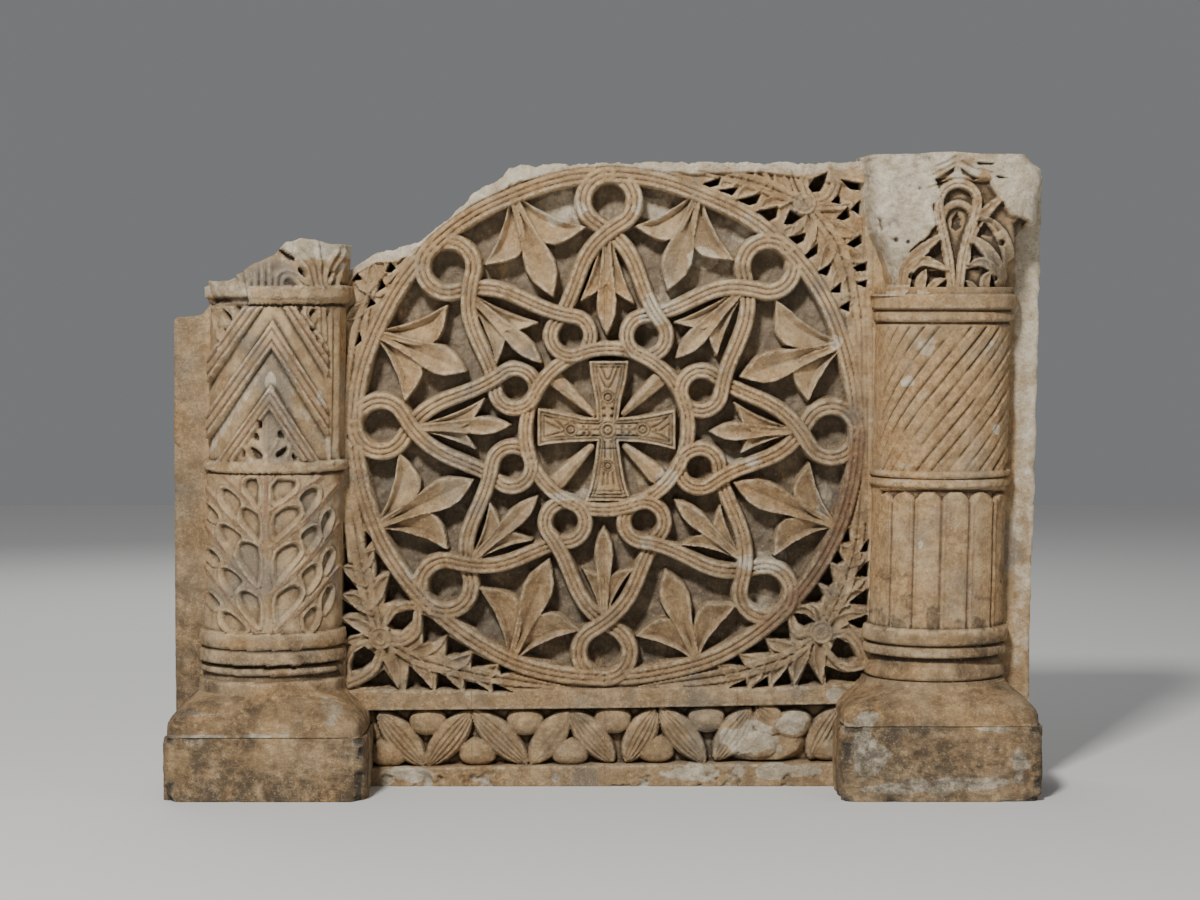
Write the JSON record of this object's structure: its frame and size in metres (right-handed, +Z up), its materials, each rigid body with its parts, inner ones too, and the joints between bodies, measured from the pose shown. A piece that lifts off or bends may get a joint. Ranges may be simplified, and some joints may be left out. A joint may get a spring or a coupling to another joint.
{
  "type": "chancel screen panel",
  "caption": "Carved limestone screen panel: a knotted roundel round a cross, between leaning carved columns on plinths, above a border of buds and balls; broken top.",
  "frame": {"origin": "on the floor, under the middle of the whole block's box", "axes": "+X to the right as the carved side is seen, +Y from the carved side into the stone, +Z up; the carved face lies in the plane Y = 0"},
  "size_m": [1.261, 0.28, 0.9175],
  "materials": {
    "limestone": "weathered, matt"
  },
  "bodies": {
    "root": {"chancel_panel": "limestone"}
  },
  "joints": []
}
